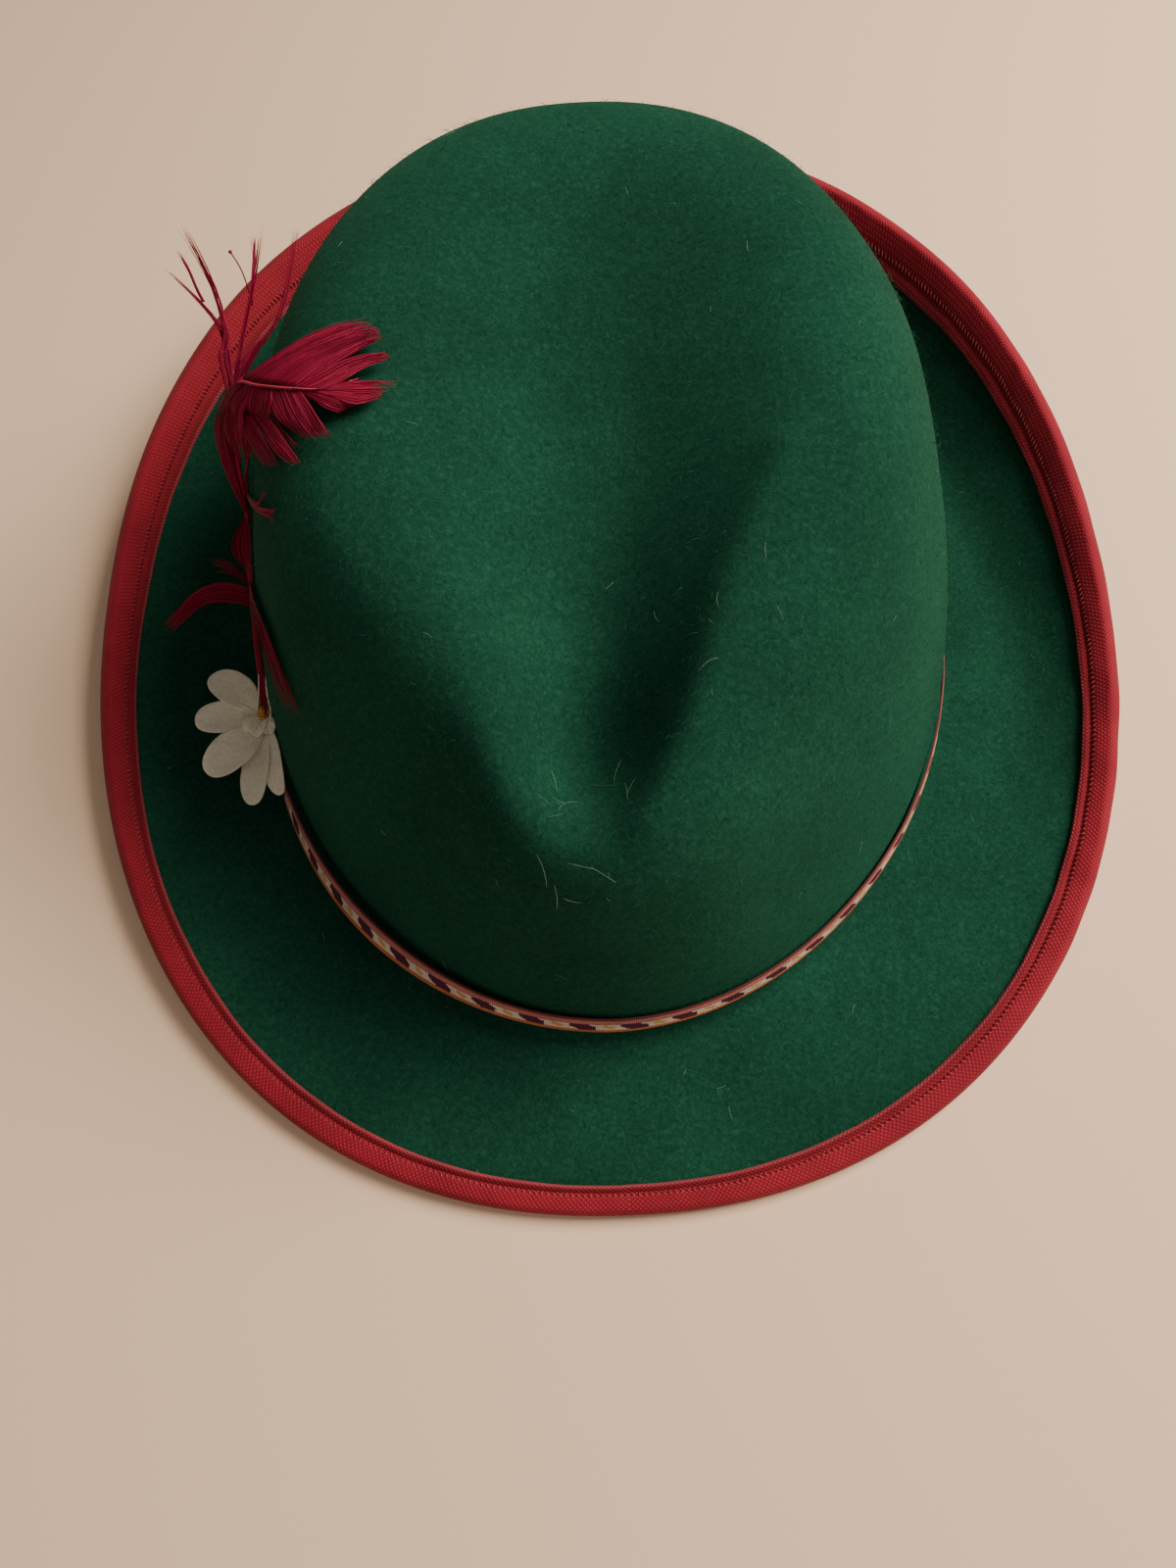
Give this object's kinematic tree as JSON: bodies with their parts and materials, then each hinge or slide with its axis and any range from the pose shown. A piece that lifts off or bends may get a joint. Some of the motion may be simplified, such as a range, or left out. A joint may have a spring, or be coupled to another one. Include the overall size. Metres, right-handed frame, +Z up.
{
  "type": "tyrolean hat",
  "caption": "Creased green felt hat with an upturned brim, a folded tape on its edge, a narrow woven band, and a cloth flower with feathers at one side.",
  "frame": {"origin": "on the resting surface, under the middle of the brim", "axes": "+Z up from the resting surface, +Y from the front of the hat to its back, +X to the side without the flower"},
  "size_m": [0.249, 0.2886, 0.1068],
  "materials": {
    "felt": "dark green wool felt, matt, with a short nap",
    "tape": "red ribbed cotton tape, matt",
    "band": "woven braid in cream, plum, dark red and orange",
    "petal": "white stiffened cloth, matt",
    "eye": "yellow cloth knot",
    "feather": "dyed crimson feather, slight sheen"
  },
  "bodies": {
    "root": {"felt_body": "felt", "brim_binding": "tape", "hat_band": "band", "flower_petals": "petal", "flower_centre": "eye", "feather_main": "feather", "feather_wisps": "feather", "feather_small": "feather"}
  },
  "joints": []
}
